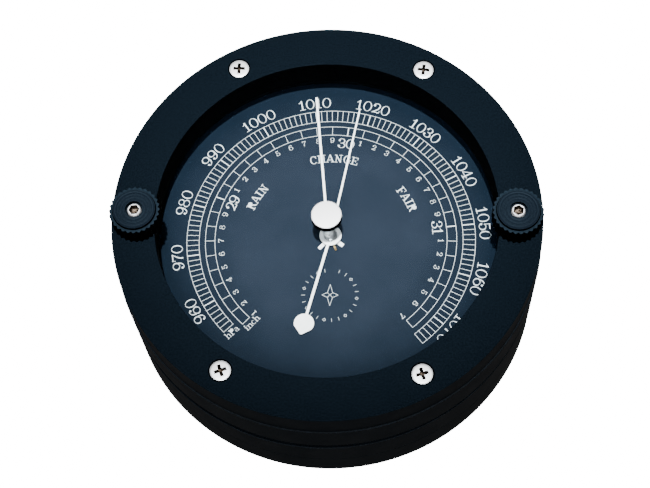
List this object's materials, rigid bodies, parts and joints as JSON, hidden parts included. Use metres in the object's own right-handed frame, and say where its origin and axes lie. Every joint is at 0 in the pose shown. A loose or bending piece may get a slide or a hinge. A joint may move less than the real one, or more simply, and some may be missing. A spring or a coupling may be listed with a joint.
{
  "type": "aneroid barometer",
  "caption": "Round aneroid pressure instrument with black case rings, glazed dial, indicator and set hands, thumb nuts and a geared capsule movement",
  "frame": {"origin": "centre of the round back's underside", "axes": "+Z out of the dial towards the reader, +Y towards twelve o'clock, +X towards three o'clock"},
  "size_m": [0.1208, 0.1208, 0.052],
  "materials": {
    "black_case": "fine-blasted, black anodised, satin",
    "black_rubber": "matt",
    "clear_glass": "clear",
    "slate_dial": "matt slate blue",
    "white_paint": "white",
    "bright_steel": "bright",
    "brass": "lightly brushed",
    "spring_bronze": "satin"
  },
  "bodies": {
    "case": {"back_plate": "black_case", "back_screw_1": "bright_steel", "back_screw_2": "bright_steel", "back_screw_3": "bright_steel", "back_screw_4": "bright_steel", "base_plate": "brass", "bezel_ring": "black_case", "bezel_screw_1": "bright_steel", "bezel_screw_2": "bright_steel", "bezel_screw_3": "bright_steel", "bezel_screw_4": "bright_steel", "bush_clip": "white_paint", "capsule": "spring_bronze", "capsule_base": "brass", "case_front_ring": "black_case", "case_middle_ring": "black_case", "case_seal_ring": "black_rubber", "dial_bush": "brass", "dial_plate": "slate_dial", "glass": "clear_glass", "glass_gasket": "black_rubber", "glass_snap_ring": "bright_steel", "hairspring": "spring_bronze", "hairspring_stud": "brass", "lower_plate": "brass", "main_spring": "spring_bronze", "pillar_1": "brass", "pillar_2": "brass", "pillar_3": "brass", "pillar_screw_1": "bright_steel", "pillar_screw_2": "bright_steel", "pillar_screw_3": "bright_steel", "rocker_bracket": "brass", "set_washer": "bright_steel", "stud_left": "bright_steel", "stud_right": "bright_steel", "top_plate": "brass"},
    "set_hand_body": {"set_knob": "bright_steel", "set_arbor": "bright_steel", "set_hand": "white_paint"},
    "indicator_body": {"indicator_hand": "white_paint", "indicator_boss": "bright_steel", "pinion_arbor": "bright_steel"},
    "sector_body": {"sector_gear": "brass"},
    "rocker_body": {"rocking_shaft": "bright_steel"},
    "lever_body": {"main_lever": "bright_steel", "capsule_head": "brass"},
    "thumb_nut_left_body": {"thumb_nut_left": "black_case"},
    "thumb_nut_right_body": {"thumb_nut_right": "black_case"},
    "calibration_body": {"calibration_screw": "brass"}
  },
  "joints": [
    {"name": "set_hand_turn", "type": "hinge", "parent": "case", "child": "set_hand_body", "pos_m": [0, 0, 0.0325], "axis": [0, 0, 1], "continuous": true},
    {"name": "indicator_turn", "type": "hinge", "parent": "case", "child": "indicator_body", "pos_m": [0.00071, -0.00038, 0.0309], "axis": [0, 0, 1], "range_deg": [-129.9, 145.8]},
    {"name": "sector_turn", "type": "hinge", "parent": "case", "child": "sector_body", "pos_m": [0.00071, -0.02243, 0.0215], "axis": [0, 0, 1], "range_deg": [-14.6, 13]},
    {"name": "rocker_turn", "type": "hinge", "parent": "case", "child": "rocker_body", "pos_m": [0.00071, -0.02618, 0.013], "axis": [0, 1, 0], "range_deg": [-10.95, 9.75]},
    {"name": "lever_slide", "type": "slide", "parent": "case", "child": "lever_body", "axis": [0, 0, 1], "range_m": [-0.000426, 0.000478], "deforming": ["capsule", "main_spring"]},
    {"name": "thumb_nut_left_turn", "type": "hinge", "parent": "case", "child": "thumb_nut_left_body", "pos_m": [-0.05254, -0.00252, 0.0485], "axis": [0, 0, 1], "continuous": true},
    {"name": "thumb_nut_right_turn", "type": "hinge", "parent": "case", "child": "thumb_nut_right_body", "pos_m": [0.05258, -0.00147, 0.0485], "axis": [0, 0, 1], "continuous": true},
    {"name": "calibration_turn", "type": "hinge", "parent": "case", "child": "calibration_body", "pos_m": [0.00071, -0.00038, 0.002], "axis": [0, 0, 1], "continuous": true}
  ],
  "couplings": [
    {"joint": "sector_turn", "follows": "indicator_turn", "ratio": -0.1},
    {"joint": "rocker_turn", "follows": "indicator_turn", "ratio": -0.075},
    {"joint": "lever_slide", "follows": "indicator_turn", "m_per_rad": 0.0001875}
  ]
}
